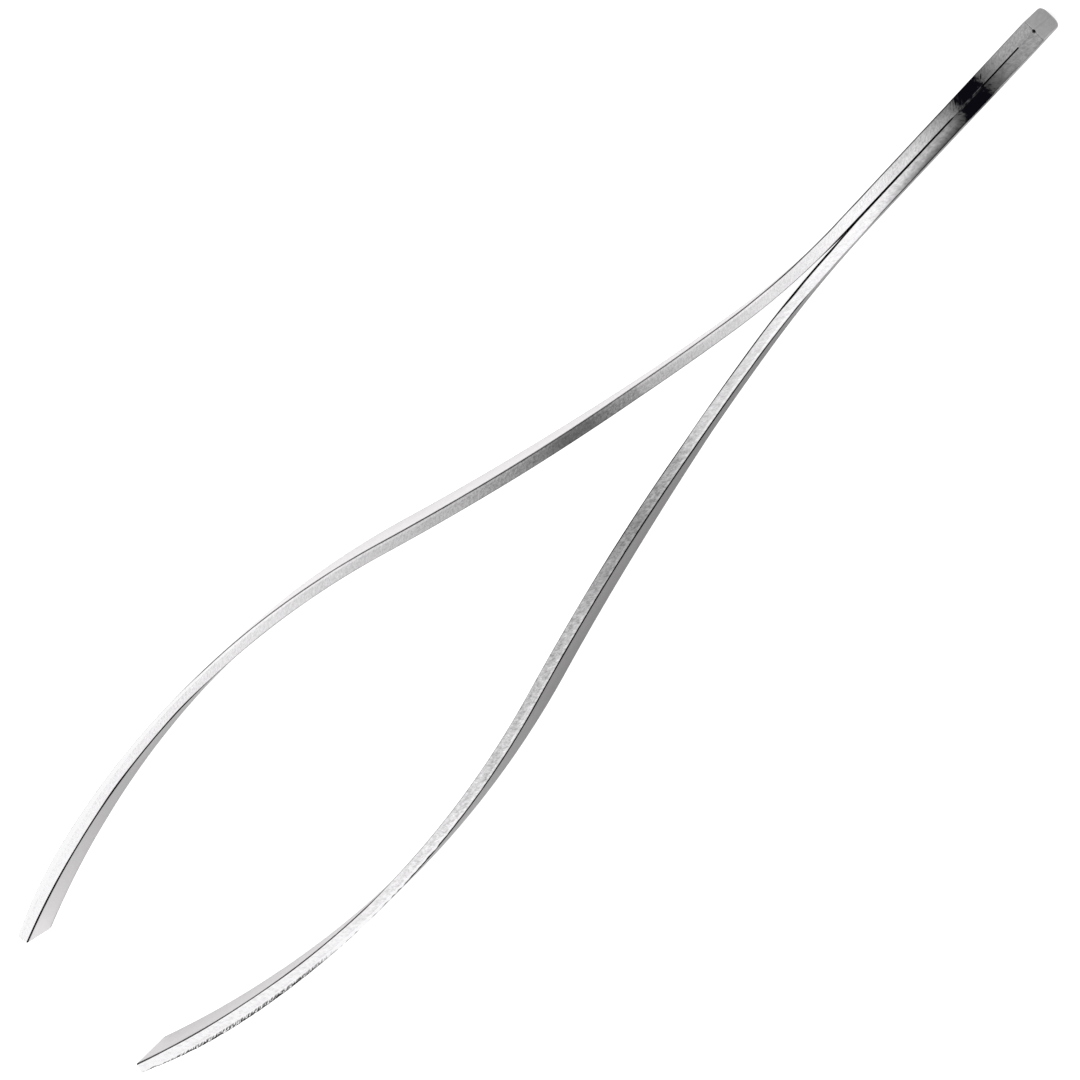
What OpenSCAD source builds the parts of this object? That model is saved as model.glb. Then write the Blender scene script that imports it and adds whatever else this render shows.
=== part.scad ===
// Spring crucible tongs: two bent steel strips joined at the tail.
// +X runs from the tail to the tips, +Y is the left strip's side, and +Z is across the strips' width.
// The tongs lie on their side with the widest stretch of both strips on z = 0.

/* [Overall] */
// Length from the tail's end to the tips
overall_len = 250; // [245:5:300]
// Straight length over which the strips lie side by side
heel_len = 46.5; // [40:0.5:52]
// Length of the bend that parts the strips
bend_len = 27; // [24:1:35]
// Length of the long, nearly straight spread
spread_len = 71; // [60:0.5:75]

/* [Left arm] */
// Slope of the left strip at the end of the bend, in degrees
left_bend_angle = 5.9; // [5:0.1:9]
// Slope of the left strip where its bow starts, in degrees
left_spread_angle = 12.1; // [11:0.1:14]
// Slope of the left strip back towards the middle at its tip, in degrees
left_tip_angle = 17; // [14:0.1:18]

/* [Right arm] */
// Slope of the right strip at the end of the bend, in degrees
right_bend_angle = 9.2; // [5:0.1:10]
// Slope of the right strip where its bow starts, in degrees
right_spread_angle = 15.5; // [11:0.1:16]
// Slope of the right strip back towards the middle at its tip, in degrees
right_tip_angle = 16; // [14:0.1:18]

/* [Strip section] */
// Thickness at the tail
tail_t = 1.92; // [1.5:0.02:2.5]
// Thickness along the grip
grip_t = 1.86; // [1.4:0.02:2.4]
// Thickness of the jaws
jaw_t = 2.36; // [1.8:0.02:3]
// Width of the tail
tail_w = 6.8; // [5.6:0.1:9]
// Width of the grip and the jaws
grip_w = 10; // [9.5:0.1:13]
// Distance from the tail's end to the shoulder where a strip widens
shoulder_x = 93; // [80:1:100]
// Length of that shoulder
shoulder_len = 28; // [15:1:40]
// Radius of the rounded corners at the tail's end
tail_corner_r = 0.2; // [0.1:0.1:1.5]
// Distance from the tail's end to where the jaws start to thicken
thicken_x = 193; // [180:1:205]
// Distance from the tail's end to where the jaws reach their full thickness
jaw_x = 226; // [206:1:232]

/* [Tips] */
// Length over which the outer face closes in at a tip
tip_taper = 15; // [6:0.5:18]
// Thickness left at a tip
tip_t = 1.7; // [0.6:0.05:1.8]
// How far the right tip is cut back along its upper edge
right_tip_cut = 2.2; // [0.5:0.1:4]

/* [Spring section] */
// Distance from the tail's end to the start of the section that flexes
spring_x = 54; // [53:1:58]
// Length of the section that flexes
spring_len = 22; // [16:1:26]

/* [Welds] */
// Gap along the seam between the strips
seam_gap = 0.1; // [0.04:0.02:0.2]
// Length of the end weld along the seam
end_weld_len = 3.8; // [2:0.2:6]
// Width of the end weld across the seam
end_weld_w = 1.3; // [0.8:0.1:1.8]
// Distance from the tail's end to the middle of the spot weld
spot_x = 16; // [12:0.5:30]
// Diameter of the spot weld
spot_d = 4.6; // [3:0.2:5.4]
// How far the spot weld reaches into each strip
spot_depth = 0.6; // [0.3:0.1:0.9]
// Clearance drawn between a weld and the metal around it
weld_fit = 0.02; // [0.01:0.01:0.05]

/* [Hidden] */

steel = [0.80, 0.80, 0.80];
tail_steel = [0.62, 0.61, 0.61];
weld_steel = [0.55, 0.54, 0.54];
burnt_steel = [0.05, 0.05, 0.06];

step = 3;                       // spacing of the points along a curve
margin = 5;                     // how far a cutting shape runs past what it cuts
tip_foot = 1;                   // height of the lower end of the right tip that is left uncut
corner_steps = 6;
left = 1;
right = -1;

spread_x = heel_len + bend_len;
bow_x = spread_x + spread_len;
spring_end = spring_x + spring_len;
tail_y = (tail_t + seam_gap) / 2;
shoulder_end = shoulder_x + shoulder_len;
shoulder_rise = (grip_w - tail_w) / 2;
shoulder_r = (shoulder_len ^ 2 + shoulder_rise ^ 2) / (2 * shoulder_rise);

// Slopes that set each side's curve
function bend_angle(side) = side == left ? left_bend_angle : right_bend_angle;
function spread_angle(side) = side == left ? left_spread_angle : right_spread_angle;
function tip_angle(side) = side == left ? left_tip_angle : right_tip_angle;

// Where a strip's middle line ends, so that its outer face ends at overall_len
function end_x(side) = overall_len + (jaw_t / 2 - tip_t) * sin(tip_angle(side));

// Radii of the three arcs, each tangent to the one before it
function bend_r(side) = bend_len / sin(bend_angle(side));
function spread_r(side) = spread_len / (sin(spread_angle(side)) - sin(bend_angle(side)));
function bow_r(side) = (end_x(side) - bow_x) / (sin(spread_angle(side)) + sin(tip_angle(side)));

// Distance of the middle line from the tail's middle plane where the second and third arcs start
function spread_y(side) = tail_y + bend_r(side) * (1 - cos(bend_angle(side)));
function bow_y(side) =
    spread_y(side) + spread_r(side) * (cos(bend_angle(side)) - cos(spread_angle(side)));

// Slope of a strip's middle line at distance x from the tail's end
function slope(x, side) =
    x <= heel_len ? 0
    : x <= spread_x ? asin((x - heel_len) / bend_r(side))
    : x <= bow_x ? asin(sin(bend_angle(side)) + (x - spread_x) / spread_r(side))
    : asin(sin(spread_angle(side)) - (x - bow_x) / bow_r(side));

// Distance of that middle line from the tail's middle plane
function middle(x, side) =
    x <= heel_len ? tail_y
    : x <= spread_x ? tail_y + bend_r(side) * (1 - cos(slope(x, side)))
    : x <= bow_x ? spread_y(side) + spread_r(side) * (cos(bend_angle(side)) - cos(slope(x, side)))
    : bow_y(side) + bow_r(side) * (cos(slope(x, side)) - cos(spread_angle(side)));

// Thickness before the tip closes in: even along the tail, thinner at the grip, thicker in the jaws
function thickness(x) =
    lookup(x, [[heel_len, tail_t], [spread_x, grip_t], [thicken_x, grip_t], [jaw_x, jaw_t]]);

// Part of the thickness that the taper takes off the outer face at distance d from the strip's end
function taper_cut(d) = d >= tip_taper ? 0 : (jaw_t - tip_t) * (1 - d / tip_taper) ^ 1.4;

// A point on a face of the strip: face is -1 for the inner face and 1 for the outer face
function face_point(x, side, face) =
    let (a = slope(x, side),
         off = face * thickness(x) / 2 - (face > 0 ? taper_cut(end_x(side) - x) : 0))
    [x - off * sin(a), side * (middle(x, side) + off * cos(a))];

// Furthest reach of a strip's outer face from the tail's middle plane
function reach(side) =
    let (x = bow_x + bow_r(side) * sin(spread_angle(side))) middle(x, side) + thickness(x) / 2;

// Evenly spaced distances from a to b
function stations(a, b, gap = step) =
    let (n = max(1, ceil((b - a) / gap))) [for (i = [0 : n]) a + (b - a) * i / n];

// Distances at which a curved stretch from a to b is drawn, with a taper at b drawn more finely
function curve_stations(a, b, tapered) =
    tapered
    ? concat([for (x = stations(a, b - tip_taper)) if (x < b - tip_taper) x],
             stations(b - tip_taper, b, step / 2))
    : stations(a, b);

// Puts a shape drawn from the tail's end, about the tail's middle, into the tongs' own frame,
// whose origin is under the middle of the tongs' box
module in_frame() {
    translate([-overall_len / 2, (reach(right) - reach(left)) / 2, grip_w / 2]) children();
}

// Plan outline of a strip between two distances from the tail's end
module plan(a, b, side) {
    xs = curve_stations(a, b, b == end_x(side));
    n = len(xs);
    polygon(concat([for (x = xs) face_point(x, side, -1)],
                   [for (i = [n - 1 : -1 : 0]) face_point(xs[i], side, 1)]));
}

// Side outline that gives a strip its width: rounded end, narrow tail, curved shoulder, wide grip
// and jaws, with the right tip cut back from its foot to its upper edge
module side_outline(side) {
    corner = [for (i = [0 : corner_steps])
              let (a = 90 * i / corner_steps)
              [tail_corner_r * (1 - cos(a)), tail_w / 2 - tail_corner_r * (1 - sin(a))]];
    shoulder = [for (x = stations(shoulder_x, shoulder_end))
                [x, grip_w / 2 - shoulder_r + sqrt(shoulder_r ^ 2 - (shoulder_end - x) ^ 2)]];
    half = concat(corner, shoulder);
    n = len(half);
    past_tip = overall_len + margin;
    tip = side == right
        ? [[overall_len - right_tip_cut, grip_w / 2], [overall_len, tip_foot - grip_w / 2],
           [past_tip, tip_foot - grip_w / 2], [past_tip, -grip_w / 2]]
        : [[past_tip, grip_w / 2], [past_tip, -grip_w / 2]];
    polygon(concat(half, tip, [for (i = [n - 1 : -1 : 0]) [half[i][0], -half[i][1]]]));
}

// Keeps of its children what lies inside the side outline
module within_side_outline(side) {
    intersection() {
        children();
        rotate([90, 0, 0])
            linear_extrude(height = overall_len, center = true) side_outline(side);
    }
}

// Solid strip between two distances from the tail's end
module strip(a, b, side) {
    within_side_outline(side)
        linear_extrude(height = grip_w, center = true) plan(a, b, side);
}

// The next two draw a weld with grow = 0, and the room it needs with grow = 1
module end_weld_shape(grow) {
    translate([-margin * grow, -end_weld_w / 2 - grow * weld_fit, -tail_w / 2 - margin * grow])
        cube([end_weld_len + grow * (weld_fit + margin), end_weld_w + 2 * grow * weld_fit,
              tail_w + 2 * margin * grow]);
}

module spot_weld_shape(grow) {
    translate([spot_x, 0, 0])
        rotate([90, 0, 0])
            cylinder(d = spot_d + 2 * grow * weld_fit,
                     h = seam_gap + 2 * (spot_depth + grow * weld_fit), center = true, $fn = 48);
}

// Side-by-side part of a strip, with room for both welds
module tail_strip(side) {
    difference() {
        strip(0, spring_x, side);
        end_weld_shape(1);
        spot_weld_shape(1);
    }
}

module left_tail() { color(tail_steel) in_frame() tail_strip(left); }
module right_tail() { color(tail_steel) in_frame() tail_strip(right); }
module left_spring() { color(steel) in_frame() strip(spring_x, spring_end, left); }
module right_spring() { color(steel) in_frame() strip(spring_x, spring_end, right); }
module left_arm() { color(steel) in_frame() strip(spring_end, end_x(left), left); }
module right_arm() { color(steel) in_frame() strip(spring_end, end_x(right), right); }
module end_weld() { color(weld_steel) in_frame() within_side_outline(left) end_weld_shape(0); }
module spot_weld() { color(burnt_steel) in_frame() spot_weld_shape(0); }

left_tail();
right_tail();
left_spring();
right_spring();
left_arm();
right_arm();
end_weld();
spot_weld();
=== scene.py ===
import math
import bpy
import numpy as np
from mathutils import Matrix, Vector


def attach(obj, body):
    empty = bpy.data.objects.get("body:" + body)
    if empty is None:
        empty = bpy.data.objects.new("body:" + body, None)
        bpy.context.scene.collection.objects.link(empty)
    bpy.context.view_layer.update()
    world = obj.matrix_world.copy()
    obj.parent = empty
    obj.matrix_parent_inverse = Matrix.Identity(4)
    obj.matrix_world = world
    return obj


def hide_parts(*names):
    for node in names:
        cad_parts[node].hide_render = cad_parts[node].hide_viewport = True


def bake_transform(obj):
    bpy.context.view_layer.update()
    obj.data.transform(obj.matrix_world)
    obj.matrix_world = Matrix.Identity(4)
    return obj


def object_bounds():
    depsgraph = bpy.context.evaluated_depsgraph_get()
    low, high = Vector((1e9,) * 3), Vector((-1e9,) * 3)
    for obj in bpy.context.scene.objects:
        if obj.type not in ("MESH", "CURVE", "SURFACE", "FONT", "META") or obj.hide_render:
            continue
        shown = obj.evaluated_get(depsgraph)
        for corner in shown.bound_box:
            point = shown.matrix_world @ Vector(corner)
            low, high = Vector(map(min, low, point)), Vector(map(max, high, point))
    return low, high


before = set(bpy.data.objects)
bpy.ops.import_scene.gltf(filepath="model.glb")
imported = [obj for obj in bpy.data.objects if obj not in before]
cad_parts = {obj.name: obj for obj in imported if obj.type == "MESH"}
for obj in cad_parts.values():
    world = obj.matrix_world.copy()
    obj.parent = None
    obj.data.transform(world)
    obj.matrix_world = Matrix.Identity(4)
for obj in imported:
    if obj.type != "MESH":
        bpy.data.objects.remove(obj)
cad_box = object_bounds()
MM = 0.001
RNG = np.random.default_rng(7)

# ---------------------------------------------------------------- sizes, in mm, as in the CAD source
LEN, HEEL, BEND, SPREAD = 250.0, 46.5, 27.0, 71.0
TAIL_T, GRIP_T, JAW_T, TIP_T = 1.92, 1.86, 2.36, 1.7
TAIL_W, GRIP_W, SHOULDER, SHOULDER_LEN = 6.8, 10.0, 93.0, 28.0
THICKEN, JAW, TAPER = 193.0, 226.0, 15.0
TAIL_R, TIP_CUT, TIP_FOOT = 0.2, 2.2, 1.0
SPRING, SPRING_LEN, SEAM = 54.0, 22.0, 0.1
WELD_LEN, WELD_W = 3.8, 1.3
BENT, BOW = HEEL + BEND, HEEL + BEND + SPREAD
Y0 = (TAIL_T + SEAM) / 2
RISE = (GRIP_W - TAIL_W) / 2
SR = (SHOULDER_LEN ** 2 + RISE ** 2) / (2 * RISE)
X0 = cad_box[0][0] / MM                      # the tail's end in the row frame
Z0 = GRIP_W / 2                              # the strips' mid height


def thickness(x):
    return float(np.interp(x, [HEEL, BENT, THICKEN, JAW], [TAIL_T, GRIP_T, GRIP_T, JAW_T]))


class Curve:
    """Middle line of one strip: three arcs, each tangent to the one before it."""

    def __init__(self, bend, spread, tip):
        a1, a2, a3 = (math.radians(a) for a in (bend, spread, tip))
        self.a1, self.a2 = a1, a2
        self.end = LEN + (JAW_T / 2 - TIP_T) * math.sin(a3)
        self.r1 = BEND / math.sin(a1)
        self.r2 = SPREAD / (math.sin(a2) - math.sin(a1))
        self.r3 = (self.end - BOW) / (math.sin(a2) + math.sin(a3))
        self.y1 = Y0 + self.r1 * (1 - math.cos(a1))
        self.y2 = self.y1 + self.r2 * (math.cos(a1) - math.cos(a2))

    def slope(self, x):
        if x <= HEEL:
            return 0.0
        if x <= BENT:
            return math.asin((x - HEEL) / self.r1)
        if x <= BOW:
            return math.asin(math.sin(self.a1) + (x - BENT) / self.r2)
        return math.asin(math.sin(self.a2) - (x - BOW) / self.r3)

    def middle(self, x):
        a = self.slope(x)
        if x <= HEEL:
            return Y0
        if x <= BENT:
            return Y0 + self.r1 * (1 - math.cos(a))
        if x <= BOW:
            return self.y1 + self.r2 * (math.cos(self.a1) - math.cos(a))
        return self.y2 + self.r3 * (math.cos(a) - math.cos(self.a2))

    def taper_cut(self, x):
        return 0.0 if x <= self.end - TAPER else (JAW_T - TIP_T) * ((x - self.end + TAPER) / TAPER) ** 1.4

    def reach(self):
        x = BOW + self.r3 * math.sin(self.a2)
        return self.middle(x) + thickness(x) / 2


LEFT, RIGHT = 1, -1
CURVES = {LEFT: Curve(5.9, 12.1, 17.0), RIGHT: Curve(9.2, 15.5, 16.0)}
YC = (CURVES[RIGHT].reach() - CURVES[LEFT].reach()) / 2       # the tail's middle plane in the row frame


def half_width(x):
    if x <= SHOULDER:
        return TAIL_W / 2
    if x >= SHOULDER + SHOULDER_LEN:
        return GRIP_W / 2
    return GRIP_W / 2 - SR + math.sqrt(SR ** 2 - (SHOULDER + SHOULDER_LEN - x) ** 2)


def smooth(t):
    t = min(1.0, max(0.0, t))
    return t * t * (3 - 2 * t)


# ---------------------------------------------------------------- camera
TILT, YAW, ROLL = math.radians(34.5), -0.0484853, -0.0297588
DIST, FIELD = 1431.0, 164.071                # distance to the target and width of the view there, mm
SENSOR = 36.0
ALONG = math.radians(45.3)                   # turn of the tongs within the picture
target = Vector(((126.283 - LEN / 2) * MM, (YC - 2.0905) * MM, Z0 * MM))
to_cam = Vector((-math.sin(TILT) * math.cos(YAW), -math.sin(TILT) * math.sin(YAW), math.cos(TILT)))
e_u = Vector((math.cos(TILT) * math.cos(YAW), math.cos(TILT) * math.sin(YAW), math.sin(TILT)))
e_v = -to_cam.cross(e_u)
if e_v.y > 0:
    e_v = -e_v
u_dir = math.cos(ROLL) * e_u + math.sin(ROLL) * e_v
v_dir = -math.sin(ROLL) * e_u + math.cos(ROLL) * e_v
right = -math.cos(ALONG) * u_dir - math.sin(ALONG) * v_dir
up = -math.sin(ALONG) * u_dir + math.cos(ALONG) * v_dir
cam_data = bpy.data.cameras.new("camera")
cam = bpy.data.objects.new("camera", cam_data)
bpy.context.scene.collection.objects.link(cam)
back = right.cross(up).normalized()
basis = Matrix((right.normalized(), up.normalized(), back)).transposed()
cam.matrix_world = Matrix.Translation(target + DIST * MM * to_cam) @ basis.to_4x4()
cam_data.sensor_width = SENSOR
cam_data.lens = SENSOR * DIST / FIELD
cam_data.clip_start, cam_data.clip_end = 0.05, 20.0
bpy.context.scene.camera = cam


# ---------------------------------------------------------------- node helpers
class Nodes:
    def __init__(self, name):
        self.mat = bpy.data.materials.new(name)
        self.mat.use_nodes = True
        self.tree = self.mat.node_tree
        self.tree.nodes.clear()

    def add(self, kind, **inputs):
        n = self.tree.nodes.new(kind)
        for k, v in inputs.items():
            self.put(n, k.replace("_", " "), v)
        return n

    def put(self, n, key, v):
        sock = n.inputs[key]
        if isinstance(v, bpy.types.NodeSocket):
            self.tree.links.new(v, sock)
        else:
            sock.default_value = v

    def math(self, op, a, b=None):
        n = self.tree.nodes.new("ShaderNodeMath")
        n.operation = op
        for i, v in enumerate((a, b)):
            if v is not None:
                self.put(n, i, v)
        return n.outputs[0]

    def ramp(self, v, stops):
        n = self.tree.nodes.new("ShaderNodeValToRGB")
        while len(n.color_ramp.elements) < len(stops):
            n.color_ramp.elements.new(0.5)
        for e, (p, c) in zip(n.color_ramp.elements, stops):
            e.position = p
            e.color = (c, c, c, 1) if not isinstance(c, tuple) else (*c, 1)
        self.put(n, "Fac", v)
        return n.outputs["Color"]

    def step(self, v, lo, hi):
        n = self.tree.nodes.new("ShaderNodeMapRange")
        n.interpolation_type = "SMOOTHSTEP"
        self.put(n, "Value", v)
        self.put(n, "From Min", lo)
        self.put(n, "From Max", hi)
        return n.outputs["Result"]

    def noise(self, vec, scale, detail=3.0, rough=0.55):
        n = self.tree.nodes.new("ShaderNodeTexNoise")
        self.put(n, "Vector", vec)
        self.put(n, "Scale", scale)
        self.put(n, "Detail", detail)
        self.put(n, "Roughness", rough)
        return n.outputs["Fac"]

    def mix(self, fac, a, b):
        n = self.tree.nodes.new("ShaderNodeMix")
        n.data_type = "RGBA"
        self.put(n, "Factor", fac)
        for key, v in (("A", a), ("B", b)):
            sock = [s for s in n.inputs if s.name == key and s.type == "RGBA"][0]
            if isinstance(v, bpy.types.NodeSocket):
                self.tree.links.new(v, sock)
            else:
                sock.default_value = (*v, 1) if len(v) == 3 else v
        return [s for s in n.outputs if s.type == "RGBA"][0]

    def vec(self, x, y, z):
        n = self.tree.nodes.new("ShaderNodeCombineXYZ")
        for i, v in enumerate((x, y, z)):
            self.put(n, i, v)
        return n.outputs[0]


# Brightness of the steel along each strip, as (mm from the tail's end, reflectance). Set to look
# like the picture in this light, so it holds reflections as well as the metal's own colour.
EDGE_TONE = {
    LEFT: [(0, .33), (5, .30), (9, .15), (12, .05), (19, .08), (22, .30), (28, .50), (36, .84), (43, .98),
           (55, .96), (66, .84), (78, .70), (90, .66), (96, .43), (108, .30), (115, .32), (131, .54),
           (157, .63), (176, .81), (206, .94), (238, .96), (246, 1.0), (252, 1.0)],
    RIGHT: [(0, .36), (7, .34), (10, .20), (12, .10), (18, .12), (21, .32), (25, .53), (30, .71), (38, .90),
            (44, .98), (52, .90), (62, .79), (76, .63), (91.5, .42), (92.5, .30), (97, .24), (102, .13),
            (107, .13), (115, .27), (132, .49), (150, .63), (170, .80), (200, .91), (230, .98), (252, 1.0)],
}
# Reflectance of each broad face along each strip. It holds painted shade as well as the metal's own colour:
# the inner faces are painted near black up to the crotch, for the shade in the narrow gap between the strips,
# and the left outer face is painted darker than the right outer face, for the shade on its side.
FACE_TONE = {
    (LEFT, "outer"): [(0, .44), (50, .44), (72, .30), (90, .30), (112, .36), (145, .38), (178, .54),
                      (252, .52)],
    (RIGHT, "outer"): [(0, .20), (10, .20), (24, .26), (45, .45), (62, .60), (155, .60), (170, .66),
                       (252, .60)],
    (LEFT, "inner"): [(0, .03), (57, .03), (64, .25), (190, .42), (204, .46), (252, .44)],
    (RIGHT, "inner"): [(0, .03), (57, .03), (64, .25), (190, .26), (212, .30), (222, .38), (230, .46),
                       (246, .64), (252, .66)],
}
# Share of the light that each broad face gives back at a grazing angle, set to look like the picture. The low
# value on the left outer face is painted shade.
GRAZING = {(LEFT, "outer"): 0.36, (RIGHT, "outer"): 1.0, (LEFT, "inner"): 0.95, (RIGHT, "inner"): 0.76}
# How dark the painted corner lines are along each strip: painted reflection of the dark surroundings on the
# rounded corners, and painted shade in the seam up to the crotch
CORNER_SHADE = {
    (LEFT, "outer"): [(0, .0), (12, .2), (18, .7), (36, .6), (42, .3), (46, .05), (57, .05), (61, 1.0),
                      (184, 1.0), (192, .1), (208, .1), (214, .95), (240, .95), (252, .6)],
    (LEFT, "inner"): [(0, .9), (1, .9), (1.4, .4), (12, .2), (19, .2), (24, .9), (48, 1.0), (68, 1.0),
                      (76, .85), (86, .55), (96, .9), (114, .9), (126, .1), (188, .1), (196, .9), (252, .9)],
    (RIGHT, "outer"): [(0, .1), (10, .1), (20, .6), (60, .85), (84, .5), (100, .5), (110, .55), (120, .7),
                       (132, .85), (148, .75), (158, .6), (174, .75), (184, .65), (192, .0), (252, 0)],
    (RIGHT, "inner"): [(0, .9), (1, .9), (1.4, .4), (12, .2), (19, .2), (24, .9), (50, .95), (54, .3),
                       (57, .05), (184, .1), (190, 1.0), (252, 1.0)],
}
# Radius of those corners, mm
CORNER_R = {
    (LEFT, "outer"): [(0, .10), (12, .12), (18, .25), (40, .25), (46, .05), (57, .05), (62, .20),
                      (184, .20), (192, .10), (208, .12), (214, .22), (252, .22)],
    (LEFT, "inner"): [(0, .10), (24, .12), (44, .18), (51, .42), (61, .42), (67, .28), (76, .24), (88, .18),
                      (100, .20), (114, .20), (126, .12), (188, .12), (196, .22), (252, .23)],
    (RIGHT, "outer"): [(0, .10), (12, .15), (20, .26), (184, .22), (194, .06), (252, .06)],
    (RIGHT, "inner"): [(0, .10), (24, .12), (48, .18), (54, .12), (184, .12), (190, .26), (252, .28)],
}
# How far down the left strip's outer face its painted dark corner line fades out, mm
FADE = [(58, .35), (72, .9), (108, .9), (124, .5), (150, .5), (184, 1.2), (192, .35)]
# Contrast of the grinding marks along each strip's narrow edges
MARKS = {
    LEFT: [(0, 1.0), (30, 1.0), (45, .3), (76, .5), (90, .9), (98, 1.3), (160, 1.1), (200, .4), (252, .4)],
    RIGHT: [(0, 1.0), (30, .8), (45, .3), (70, .5), (91, .8), (94, 1.4), (115, 1.3), (132, .7), (170, .5),
            (252, .3)],
}
END_TONE = 0.235                             # brightness of the tail's end face
FACE_MARKS = 0.16                            # contrast of the brushing on the broad faces
SPAN = 260.0                                 # mm covered by one ramp along a strip
WELD_BAND_COLOUR = (0.0034, 0.0034, 0.0056)             # colour of the near-black band over the spot weld


def steel(name, side, part, seed):
    """Steel of a strip's "edge", "outer" or "inner" face.

    One UV map holds mm along and across the strip, the other the corner masks.
    """
    m = Nodes(name)
    uv = m.add("ShaderNodeUVMap")
    uv.uv_map = "along_across"
    sep = m.add("ShaderNodeSeparateXYZ", Vector=uv.outputs["UV"])
    s, t = sep.outputs["X"], sep.outputs["Y"]
    cuv = m.add("ShaderNodeUVMap")
    cuv.uv_map = "corners"
    csep = m.add("ShaderNodeSeparateXYZ", Vector=cuv.outputs["UV"])
    edge = part == "edge"

    def along(stops):
        return m.ramp(m.math("DIVIDE", s, SPAN), [(x / SPAN, v) for x, v in stops])

    def around(v, amount):
        return m.math("MULTIPLY", m.math("SUBTRACT", v, 0.5), amount)

    def waves(sa, ta, shift, detail, rough):
        return m.noise(m.vec(sa, ta, float(seed + shift)), 1.0, detail, rough)

    if edge:                                                         # slanted grinding marks
        slant = m.math("ADD", s, m.math("MULTIPLY", t, 0.8))
        wide, thin = (1.5, 3.2) if side == LEFT else (1.9, 5.0)
        pitch = 1.1 if side == LEFT else 2.1
        marks = waves(m.math("MULTIPLY", slant, pitch), m.math("MULTIPLY", t, wide), 0, 4.0, 0.62)
        fine = waves(m.math("MULTIPLY", slant, 6.0), m.math("MULTIPLY", t, thin), 3, 3.0, 0.6)
        depth = along(MARKS[side])
        tone = along(EDGE_TONE[side])
    else:                                                            # fine brushing along the strip
        marks = waves(m.math("MULTIPLY", s, 0.10), m.math("MULTIPLY", t, 4.0), 0, 4.0, 0.6)
        fine = waves(m.math("MULTIPLY", s, 0.5), m.math("MULTIPLY", t, 12.0), 3, 3.0, 0.6)
        depth = FACE_MARKS
        # face tone, which carries the painted shade of FACE_TONE
        tone = along(FACE_TONE[side, part])
    cloud = waves(m.math("MULTIPLY", s, 0.16), m.math("MULTIPLY", t, 0.35), 8, 3.0, 0.5)
    coarse, small = (1.6, 1.0) if side == LEFT and edge else (1.25, 1.35)
    swing = m.math("ADD", m.math("ADD", around(marks, coarse), around(fine, small)), around(cloud, 0.35))
    tone = m.math("MULTIPLY", tone, m.math("ADD", 1.0, m.math("MULTIPLY", swing, depth)))
    if edge:
        # painted highlight: a lighter margin beside the outer corner past the crotch; and painted shade,
        # darker towards that corner, just past the dark band over the spot weld
        past_crotch = m.math("MULTIPLY", m.step(s, 56.0, 70.0), 0.22)
        highlight_margin = m.math("MULTIPLY", m.step(t, 0.34, 0.54), past_crotch)
        tone = m.math("MULTIPLY", tone, m.math("ADD", 1.0, highlight_margin))
        # painted shade just past the dark band, darker towards the outer corner
        near = m.math("MULTIPLY", m.step(s, 18.0, 21.0), m.math("SUBTRACT", 1.0, m.step(s, 27.0, 46.0)))
        past_band_depth = 0.75 if side == LEFT else 0.15
        past_band_shade = m.math("MULTIPLY", near, m.math("MULTIPLY", m.step(t, -0.6, 1.0), past_band_depth))
        tone = m.math("MULTIPLY", tone, m.math("SUBTRACT", 1.0, past_band_shade))
        if side == LEFT:                                             # nicks along the jaw's worn outer corner
            lean = m.math("MULTIPLY", m.math("SUBTRACT", s, m.math("MULTIPLY", t, 1.3)), 2.6)
            nick = m.step(waves(lean, m.math("MULTIPLY", t, 1.2), 52, 3.0, 0.7), 0.42, 0.53)
            nick = m.math("MULTIPLY", nick, m.step(t, 0.40, 0.78))
            nick = m.math("MULTIPLY", nick, m.step(s, 202.0, 213.0))
            tone = m.math("MULTIPLY", tone, m.math("SUBTRACT", 1.0, m.math("MULTIPLY", nick, 0.95)))
    # painted dark corner lines, painted reflection and shade, broken up where they are worn
    worn = m.step(waves(m.math("MULTIPLY", s, 2.6), m.math("MULTIPLY", t, 1.5), 14, 3.0, 0.7), 0.42, 0.54)
    ragged = m.math("MULTIPLY", m.step(s, 196.0, 212.0), 1.0 if side == LEFT else 0.3)
    keep = m.math("SUBTRACT", 1.0, m.math("MULTIPLY", ragged, m.math("SUBTRACT", 1.0, worn)))
    outer_mask = m.math("MULTIPLY", m.step(csep.outputs["X"], 0.10, 0.70), keep)
    outer_dark = m.math("MULTIPLY", outer_mask, along(CORNER_SHADE[side, "outer"]))
    inner_mask = m.step(csep.outputs["Y"], 0.10, 0.70)
    inner_dark = m.math("MULTIPLY", inner_mask, along(CORNER_SHADE[side, "inner"]))
    dark = m.math("MAXIMUM", outer_dark, inner_dark)
    tone = m.math("MULTIPLY", tone, m.math("SUBTRACT", 1.0, dark))
    grey = m.vec(tone, m.math("MULTIPLY", tone, 0.985), m.math("MULTIPLY", tone, 0.99))
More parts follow.
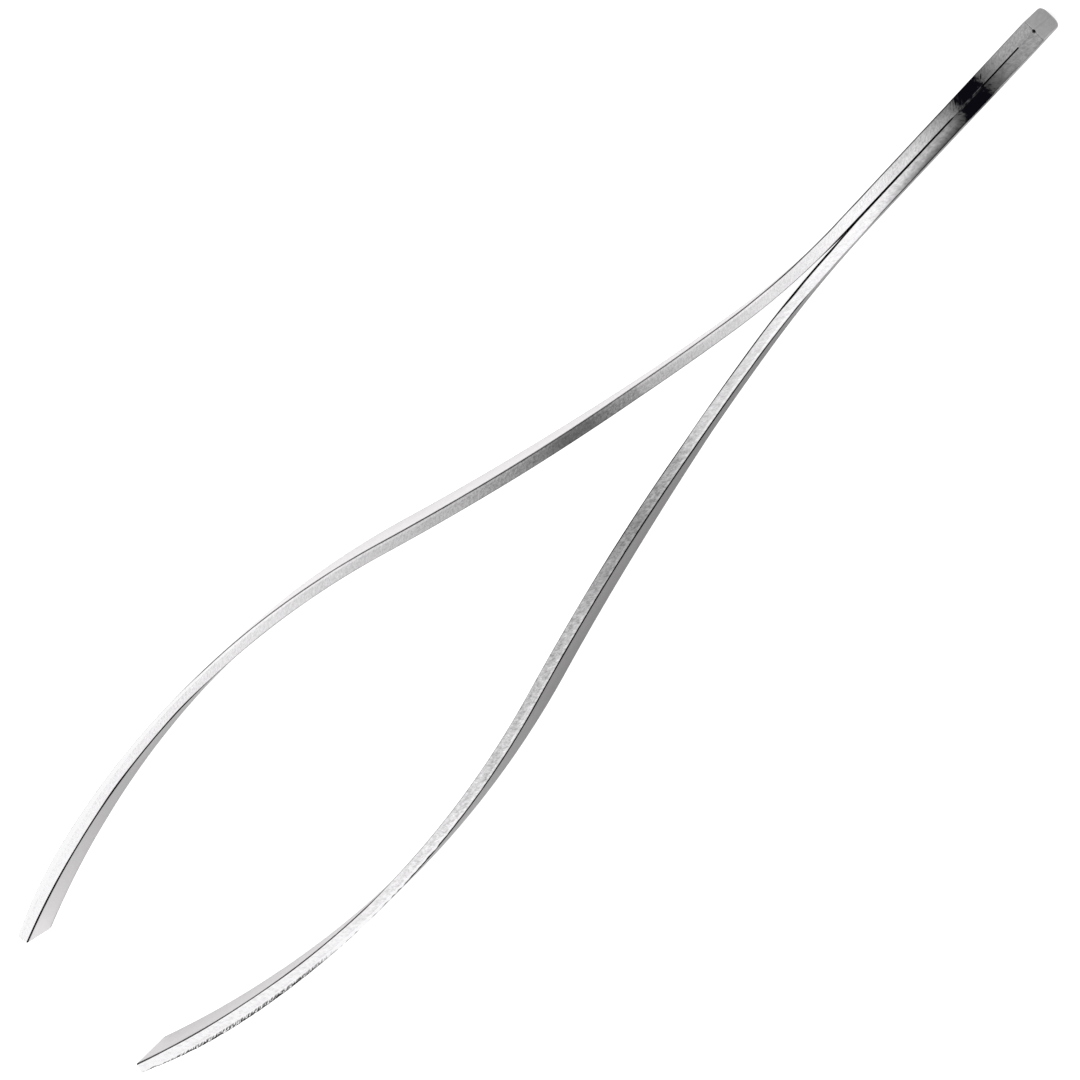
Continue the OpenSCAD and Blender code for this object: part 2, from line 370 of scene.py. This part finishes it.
    # near-black band over the spot weld, with a ragged scratched border and a paler line along the seam
    rag = waves(m.math("MULTIPLY", s, 0.9), m.math("MULTIPLY", t, 0.9), 20, 5.0, 0.7)
    scratch = waves(m.math("MULTIPLY", m.math("SUBTRACT", s, t), 0.55),
                    m.math("MULTIPLY", m.math("ADD", s, t), 3.2), 31, 3.0, 0.6)
    sw = m.math("ADD", s, m.math("ADD", around(rag, 4.2), around(scratch, 4.6)))
    weld_band = m.math("MULTIPLY", m.step(sw, 11.8, 12.6),
                   m.math("SUBTRACT", 1.0, m.step(sw, 18.2 if side == LEFT else 17.2, 19.2)))
    if edge:
        flakes = waves(m.math("MULTIPLY", s, 1.1), m.math("MULTIPLY", t, 3.0), 41, 3.0, 0.7)
        flake = m.step(flakes, 0.42, 0.60)
        rim = m.math("MULTIPLY", m.math("SUBTRACT", 1.0, m.step(t, -0.93, -0.78)), flake)
        weld_band = m.math("MULTIPLY", weld_band, m.math("SUBTRACT", 1.0, m.math("MULTIPLY", rim, 0.75)))
    col = m.mix(weld_band, grey, WELD_BAND_COLOUR)
    rough = m.math("ADD", m.math("MULTIPLY", fine, 0.10), 0.20 if edge else 0.30)
    bump = m.add("ShaderNodeBump")
    m.put(bump, "Strength", 0.30 if edge else 0.10)
    m.put(bump, "Distance", 0.00003)
    m.put(bump, "Height", m.math("ADD", marks, m.math("MULTIPLY", fine, 0.6)))
    b = m.add("ShaderNodeBsdfPrincipled")
    m.put(b, "Base Color", col)
    m.put(b, "Metallic", 1.0)
    # grazing share per face; its low values are painted shade
    tint = GRAZING.get((side, part), 1.0)
    m.put(b, "Specular Tint", (tint, tint * 0.985, tint * 0.99, 1))
    m.put(b, "Roughness", rough)
    m.put(b, "Normal", bump.outputs["Normal"])
    out = m.add("ShaderNodeOutputMaterial")
    m.tree.links.new(b.outputs[0], out.inputs["Surface"])
    return m.mat


def end_steel(name):
    """Smoothly ground steel of the tail's end face. The UV map "along_across" holds mm across and up."""
    m = Nodes(name)
    uv = m.add("ShaderNodeUVMap")
    uv.uv_map = "along_across"
    sep = m.add("ShaderNodeSeparateXYZ", Vector=uv.outputs["UV"])
    y, z = sep.outputs["X"], sep.outputs["Y"]
    marks = m.noise(m.vec(m.math("MULTIPLY", y, 2.2), m.math("MULTIPLY", z, 0.5), 5.0), 1.0, 3.0, 0.6)
    fine = m.noise(m.vec(m.math("MULTIPLY", y, 6.0), m.math("MULTIPLY", z, 3.0), 9.0), 1.0, 3.0, 0.6)
    coarse = m.math("MULTIPLY", m.math("SUBTRACT", marks, 0.5), 0.10)
    small = m.math("MULTIPLY", m.math("SUBTRACT", fine, 0.5), 0.06)
    tone = m.math("ADD", END_TONE, m.math("ADD", coarse, small))
    # faint line of the seam under the weld
    off_seam = m.math("ABSOLUTE", m.math("ADD", y, m.math("MULTIPLY", z, 0.03)))
    line = m.math("SUBTRACT", 1.0, m.step(off_seam, 0.03, 0.16))
    broken = m.math("MULTIPLY", line, m.step(fine, 0.35, 0.6))
    tone = m.math("MULTIPLY", tone, m.math("SUBTRACT", 1.0, m.math("MULTIPLY", broken, 0.22)))
    bump = m.add("ShaderNodeBump", Strength=0.12, Distance=0.00003, Height=m.math("ADD", marks, fine))
    b = m.add("ShaderNodeBsdfPrincipled")
    m.put(b, "Base Color", m.vec(tone, m.math("MULTIPLY", tone, 0.985), m.math("MULTIPLY", tone, 0.99)))
    m.put(b, "Metallic", 1.0)
    m.put(b, "Roughness", m.math("ADD", m.math("MULTIPLY", fine, 0.10), 0.30))
    m.put(b, "Normal", bump.outputs["Normal"])
    out = m.add("ShaderNodeOutputMaterial")
    m.tree.links.new(b.outputs[0], out.inputs["Surface"])
    return m.mat


def weld_steel(name, seed):
    """Metal of the spot weld, hidden between the strips."""
    m = Nodes(name)
    co = m.add("ShaderNodeTexCoord").outputs["Object"]
    swirl = m.noise(co, 1500.0 + seed, 4.0, 0.6)
    pits = m.noise(co, 5200.0, 3.0, 0.6)
    col = m.ramp(swirl, [(0.25, (0.04, 0.04, 0.045)), (0.75, (0.16, 0.155, 0.155))])
    bump = m.add("ShaderNodeBump", Strength=0.25, Distance=0.00004, Height=m.math("ADD", swirl, pits))
    b = m.add("ShaderNodeBsdfPrincipled")
    m.put(b, "Base Color", col)
    m.put(b, "Metallic", 1.0)
    m.put(b, "Roughness", m.math("ADD", m.math("MULTIPLY", pits, 0.2), 0.35))
    m.put(b, "Normal", bump.outputs["Normal"])
    out = m.add("ShaderNodeOutputMaterial")
    m.tree.links.new(b.outputs[0], out.inputs["Surface"])
    return m.mat


# ---------------------------------------------------------------- strips
CORNER = 4                                   # segments in each rounded corner


def on_strip(stops, x):
    return float(np.interp(x, [s[0] for s in stops], [s[1] for s in stops]))


def ring(x, side, wob):
    """Points of a strip's section at x: offset, height, outward 2-D normal, outer and inner corner masks."""
    curve = CURVES[side]
    t = thickness(x)
    inner, outer = -t / 2, t / 2 - curve.taper_cut(x)
    hw = half_width(x)
    top, bottom = hw, -hw
    closed = smooth((x - 12.2) / 1.2) * smooth((20.6 - x) / 1.2)     # seam pulled shut by the spot weld
    inner -= closed * SEAM / 2
    if x < WELD_LEN:
        inner = WELD_W / 2 - Y0                                      # room for the end weld
    cut = max(0.0, 1 - x / TAIL_R)
    inset = TAIL_R * (1 - math.sqrt(max(0.0, 1 - cut * cut)))        # rounded end
    top -= inset
    bottom += inset
    outer -= 0.7 * inset
    if side == RIGHT:                                                # right tip cut back along its upper edge
        top -= max(0.0, x - curve.end + TIP_CUT) * (GRIP_W - TIP_FOOT) / TIP_CUT
    room = min(0.5 * (outer - inner) - 0.02, 1.4)
    r_to = on_strip(CORNER_R[side, "outer"], x) * (1 + 0.07 * wob[0])
    if side == LEFT:
        r_to += 0.09 * smooth((x - 150) / 60) * wob[1]               # rough at the left jaw
    r_ti = on_strip(CORNER_R[side, "inner"], x) * (1 - 0.7 * closed)
    r_ti *= 1 + 0.1 * wob[2] * smooth((x - 56) / 5)
    if x < WELD_LEN:
        r_ti = 0.0
    r_bo = 0.15 + 1.10 * smooth(1 - x / 7.0)                         # well rounded under the tail's end
    r_bi = 0.14 if x >= WELD_LEN else 0.0
    room = min(room, 0.45 * (top - bottom))
    r_to, r_ti, r_bi = (max(0.001, min(r, room)) for r in (r_to, r_ti, r_bi))
    r_bo = max(0.001, min(r_bo, outer - inner - r_bi - 0.02, 0.45 * (top - bottom)))
    pts = []

    def corner(cx, cy, r, a0, on_outer, on_inner, edge_first):
        for i in range(CORNER + 1):
            a = math.radians(a0 - 90 * i / CORNER)
            k = i if edge_first else CORNER - i
            mask = (0.0, 0.8, 1.0, 1.0, 1.0)[k]
            pts.append((cx + r * math.cos(a), cy + r * math.sin(a), math.cos(a), math.sin(a),
                        mask * on_outer, mask * on_inner))

    def edge_points(a, b, up):
        for i in range(1, 3):
            pts.append((a + (b - a) * i / 3, top if up > 0 else bottom, 0.0, up, 0.0, 0.0))

    def face_points(a, b, o, out, fade=0.35):
        way = math.copysign(1.0, b - a)
        first, last = (min(f, abs(b - a) / 3.1) for f in (fade, 0.35))
        for z in (a + way * first, a + (b - a) / 3, a + (b - a) * 2 / 3, b - way * last):
            pts.append((o, z, out, 0.0, 0.0, 0.0))

    low = 1.0 if x > 8 else 0.0
    corner(inner + r_ti, top - r_ti, r_ti, 180, 0, 1, False)
    edge_points(inner + r_ti, outer - r_to, 1.0)
    corner(outer - r_to, top - r_to, r_to, 90, 1, 0, True)
    face_points(top - r_to, bottom + r_bo, outer, 1.0, on_strip(FADE, x) if side == LEFT else 0.35)
    corner(outer - r_bo, bottom + r_bo, r_bo, 0, low, 0, False)
    edge_points(outer - r_bo, inner + r_bi, -1.0)
    corner(inner + r_bi, bottom + r_bi, r_bi, -90, 0, 1, True)
    face_points(bottom + r_bi, top - r_ti, inner, -1.0)
    return pts


def wobble(n, step_mm, length_mm, rng):
    k = max(3, int(round(length_mm / step_mm)))
    raw = rng.normal(0, 1, n + 2 * k)
    win = np.hanning(k + 2)
    out = np.convolve(raw, win / np.sqrt((win ** 2).sum()), mode="same")[k:k + n]
    return np.clip(out, -2, 2)


def make_strip(name, side, mats, rng):
    curve = CURVES[side]
    end = curve.end
    xs = [0.0, 0.02, 0.05, 0.10, 0.16, 0.22, 0.35, 0.6, 0.9, 1.3]
    xs += list(np.arange(1.8, WELD_LEN - 0.05, 0.4)) + [WELD_LEN - 0.001, WELD_LEN + 0.001]
    xs += list(np.arange(WELD_LEN + 0.3, end - 0.3, 0.35))
    xs += [end - 0.12, end]
    breaks = [WELD_LEN]
    if side == RIGHT:                                                # where the tip starts to be cut back
        breaks.append(end - TIP_CUT)
        xs = sorted([x for x in xs if abs(x - breaks[1]) > 0.05] + [breaks[1] - 0.001, breaks[1] + 0.001])
    n = len(xs)
    wob = [wobble(n, 0.35, w, rng) for w in (9.0, 1.1, 12.0)]
    rings = []
    for i, x in enumerate(xs):
        c, a = curve.middle(x), curve.slope(x)
        section = ring(x, side, (wob[0][i], wob[1][i], wob[2][i]))
        rings.append([(X0 + x - o * math.sin(a), YC + side * (c + o * math.cos(a)), Z0 + z,
                       o, z, no, nz, mo, mi) for o, z, no, nz, mo, mi in section])
    m = len(rings[0])
    R = np.array(rings)                                              # (n, m, 9)
    P = R[:, :, :3]
    Ts = np.gradient(P, axis=0)
    for k in range(n):                                               # don't smooth over the steps
        for at in breaks:
            if abs(xs[k] - at) < 0.01:
                a, b = (k - 1, k) if xs[k] < at else (k, k + 1)
                Ts[k] = P[b] - P[a]
    ang = np.array([curve.slope(x) for x in xs])[:, None]
    no, nz = R[:, :, 5], R[:, :, 6]
    N2 = np.stack([-no * np.sin(ang), side * no * np.cos(ang), nz], -1)
    Tr = np.stack([nz * np.sin(ang), -side * nz * np.cos(ang), no], -1)         # along the ring
    N = np.cross(Ts, Tr)
    N *= np.sign((N * N2).sum(-1, keepdims=True) + 1e-12)
    N /= np.linalg.norm(N, axis=-1, keepdims=True) + 1e-12
    verts = [tuple(v * MM) for v in P.reshape(-1, 3)]
    normals = [tuple(v) for v in N.reshape(-1, 3)]
    faces, uvs, masks, kinds = [], [], [], []
    for i in range(n - 1):
        for j in range(m):
            j2 = (j + 1) % m
            f = [i * m + j, (i + 1) * m + j, (i + 1) * m + j2, i * m + j2]
            nn = abs(nz[i, j] + nz[i, j2]) / 2
            is_edge = nn > 0.62
            quad = [(i, j), (i + 1, j), (i + 1, j2), (i, j2)]
            if side < 0:
                f.reverse()
                quad.reverse()
            faces.append(f)
            uvs += [(xs[vi], R[vi, vj, 3] if is_edge else R[vi, vj, 4]) for vi, vj in quad]
            masks += [(R[vi, vj, 7], R[vi, vj, 8]) for vi, vj in quad]
            kinds.append(1 if is_edge else 0 if no[i, j] + no[i, j2] > 0 else 2)
    for i, order in ((0, 1), (n - 1, -1)):                            # end caps
        f = [i * m + j for j in range(m)]
        if order * side < 0:
            f.reverse()
        faces.append(f)
        if i:
            uvs += [(xs[i], R[i, k % m, 4]) for k in f]
        else:
            uvs += [(side * (Y0 + R[i, k, 3]), R[i, k, 4]) for k in f]
        masks += [(0.0, 0.0)] * m
        kinds.append(0 if i else 3)
    me = bpy.data.meshes.new(name)
    me.from_pydata(verts, [], faces)
    layer = me.uv_layers.new(name="along_across")
    layer.data.foreach_set("uv", np.array(uvs, np.float32).ravel())
    layer = me.uv_layers.new(name="corners")
    layer.data.foreach_set("uv", np.array(masks, np.float32).ravel())
    for mat in mats:
        me.materials.append(mat)
    me.polygons.foreach_set("material_index", kinds)
    me.polygons.foreach_set("use_smooth", [True] * (len(faces) - 2) + [False, False])
    me.update()
    loops = np.empty(len(me.loops), np.int32)
    me.loops.foreach_get("vertex_index", loops)
    ln = np.array(normals)[loops]
    for p in me.polygons[-2:]:                                        # flat caps
        for li in range(p.loop_start, p.loop_start + p.loop_total):
            ln[li] = p.normal
    me.normals_split_custom_set([tuple(v) for v in ln])
    obj = bpy.data.objects.new(name, me)
    bpy.context.scene.collection.objects.link(obj)
    return obj


PARTS = ("outer", "edge", "inner")
STEEL = {(side, part): steel("steel_%s_%s" % (label, part), side, part, seed)
         for side, label, seed in ((LEFT, "left", 11), (RIGHT, "right", 17)) for part in PARTS}
END = end_steel("steel_end")
left_strip = make_strip("left_strip", LEFT, [STEEL[LEFT, k] for k in PARTS] + [END], RNG)
right_strip = make_strip("right_strip", RIGHT, [STEEL[RIGHT, k] for k in PARTS] + [END], RNG)
for obj, side, body, nodes in (
        (left_strip, LEFT, "left_side", ("left_tail", "left_spring", "left_arm")),
        (right_strip, RIGHT, "right_side", ("right_tail", "right_spring", "right_arm"))):
    ends = [((X0 + x) * MM, (YC + side * CURVES[side].middle(x)) * MM, Z0 * MM)
            for x in (SPRING, SPRING + SPRING_LEN)]
    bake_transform(obj)
    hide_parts(*nodes)


# ---------------------------------------------------------------- end weld
PIT_X, PIT_DEPTH = 0.12, 0.25                # pit at the seam's end, mm from the tail's end and mm deep


def make_weld():
    """Block that fills the pocket between the strips, level with them. The seam shows as a faint groove."""
    xs = [0.0, 0.02, 0.05, 0.10, 0.16, 0.22, 0.32, 0.45, 0.6, 0.75]
    xs += list(np.linspace(0.9, WELD_LEN, 16))
    ys = [k * WELD_W / 2 for k in (-1, -.8, -.6, -.4, -.25, -.14, -.07, 0, .07, .14, .25, .4, .6, .8, 1)]
    verts, faces = [], []

    def height(x, y, up):
        cut = max(0.0, 1 - x / TAIL_R)
        level = TAIL_W / 2 - TAIL_R * (1 - math.sqrt(max(0.0, 1 - cut * cut)))
        if up > 0:
            level -= PIT_DEPTH * math.exp(-((x - PIT_X) ** 2 + y ** 2) / 0.04)
        return level - 0.03 * math.exp(-(y / 0.06) ** 2) * (x > 0.5)

    def shade(x, y, z):
        """Darkness of the pit at the end, painted shade in its hollow, and of the faint broken seam line."""
        dash = 0.5 + 0.5 * math.sin(5.3 * x + 1.0) if x > 0.5 else 0.45
        # painted shade in the pit's hollow
        pit = 1.2 * math.exp(-((x - PIT_X) ** 2 + y ** 2) / 0.06) if z > 0 else 0.0
        return min(1.0, pit + 0.35 * dash * math.exp(-(y / 0.07) ** 2))

    for sgn in (1, -1):
        verts += [((X0 + x) * MM, (YC + y) * MM, (Z0 + sgn * height(x, y, sgn)) * MM) for x in xs for y in ys]
    nx, ny = len(xs), len(ys)
    bot = nx * ny
    for k in (0, bot):
        for i in range(nx - 1):
            for j in range(ny - 1):
                f = [k + i * ny + j, k + (i + 1) * ny + j, k + (i + 1) * ny + j + 1, k + i * ny + j + 1]
                faces.append(f[::-1] if k else f)
    for j in range(ny - 1):
        i = (nx - 1) * ny
        faces.append([j, j + 1, bot + j + 1, bot + j])
        faces.append([bot + i + j, bot + i + j + 1, i + j + 1, i + j])
    for i in range(nx - 1):
        a, b = i * ny, (i + 1) * ny
        faces.append([bot + a, bot + b, b, a])
        a, b = a + ny - 1, b + ny - 1
        faces.append([a, b, bot + b, bot + a])
    n_top = 2 * (nx - 1) * (ny - 1)
    uvs, kinds = [], []
    for k, f in enumerate(faces):
        xy = [(verts[v][0] / MM - X0, verts[v][1] / MM - YC, verts[v][2] / MM - Z0) for v in f]
        side = LEFT if sum(p[1] for p in xy) > 0 else RIGHT
        uvs += [(p[0], side * p[1] - Y0) if k < n_top else (p[1], p[2]) for p in xy]
        kinds.append((0 if side == LEFT else 1) if k < n_top else 2)
    me = bpy.data.meshes.new("end_weld_metal")
    me.from_pydata(verts, [], faces)
    layer = me.uv_layers.new(name="along_across")
    layer.data.foreach_set("uv", np.array(uvs, np.float32).ravel())
    masks = [(0.0, shade(verts[v][0] / MM - X0, verts[v][1] / MM - YC, verts[v][2] / MM - Z0))
             for f in faces for v in f]
    me.uv_layers.new(name="corners").data.foreach_set("uv", np.array(masks, np.float32).ravel())
    me.update()
    for mat in (STEEL[LEFT, "edge"], STEEL[RIGHT, "edge"], END):
        me.materials.append(mat)
    me.polygons.foreach_set("material_index", kinds)
    o = bpy.data.objects.new("end_weld_metal", me)
    bpy.context.scene.collection.objects.link(o)
    return o


weld = make_weld()
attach(weld, "tail")
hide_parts("end_weld")
spot = bpy.data.objects["spot_weld"]
spot.data.materials.clear()
spot.data.materials.append(weld_steel("weld_nugget", 9))


# ---------------------------------------------------------------- floor, world and lights
def floor():
    me = bpy.data.meshes.new("floor")
    s, z = 3.0, -0.00003
    me.from_pydata([(-s, -s, z), (s, -s, z), (s, s, z), (-s, s, z)], [], [(0, 1, 2, 3)])
    m = Nodes("floor_pale")
    b = m.add("ShaderNodeBsdfPrincipled")
    m.put(b, "Base Color", (0.30, 0.30, 0.30, 1))
    m.put(b, "Roughness", 0.9)
    m.put(b, "Specular IOR Level", 0.1)
    m.put(b, "Emission Color", (1.0, 1.0, 1.0, 1))                   # a light table, as for a cut-out picture
    m.put(b, "Emission Strength", 0.80)
    out = m.add("ShaderNodeOutputMaterial")
    m.tree.links.new(b.outputs[0], out.inputs["Surface"])
    me.materials.append(m.mat)
    o = bpy.data.objects.new("floor", me)
    bpy.context.scene.collection.objects.link(o)


floor()
world = bpy.data.worlds.new("studio")
bpy.context.scene.world = world
world.use_nodes = True
wt = world.node_tree
wt.nodes.clear()
wc = wt.nodes.new("ShaderNodeTexCoord")
ws = wt.nodes.new("ShaderNodeSeparateXYZ")
wr = wt.nodes.new("ShaderNodeValToRGB")
wb = wt.nodes.new("ShaderNodeBackground")
wo = wt.nodes.new("ShaderNodeOutputWorld")
wt.links.new(wc.outputs["Generated"], ws.inputs[0])
wt.links.new(ws.outputs["Z"], wr.inputs["Fac"])
wt.links.new(wr.outputs["Color"], wb.inputs["Color"])
wt.links.new(wb.outputs[0], wo.inputs["Surface"])
ramp = wr.color_ramp
stops = [(0.0, 0.03), (0.40, 0.04), (0.58, 0.25), (0.68, 0.97), (0.90, 1.0), (1.0, 1.0)]
while len(ramp.elements) < len(stops):
    ramp.elements.new(0.5)
for e, (p, c) in zip(ramp.elements, stops):
    e.position, e.color = p, (c, c, c * 1.01, 1)
wb.inputs["Strength"].default_value = 1.02


def area(name, loc, size, power):
    """Soft light aimed at the tongs and left out of their reflections."""
    d = bpy.data.lights.new(name, "AREA")
    d.shape, d.size, d.size_y = "RECTANGLE", size[0], size[1]
    d.energy = power
    o = bpy.data.objects.new(name, d)
    bpy.context.scene.collection.objects.link(o)
    o.location = loc
    o.visible_glossy = False
    o.rotation_euler = (Vector((0.0, 0.0, 0.0)) - Vector(loc)).to_track_quat("-Z", "Y").to_euler()


area("overhead", (0.0, 0.0, 1.6), (2.0, 2.0), 50.0)
area("key", (-0.25, -0.8, 1.3), (0.8, 0.8), 4.0)
bpy.context.scene.view_settings.view_transform = "Standard"
bpy.context.scene.view_settings.look = "None"
bpy.context.scene.view_settings.exposure = 0.0
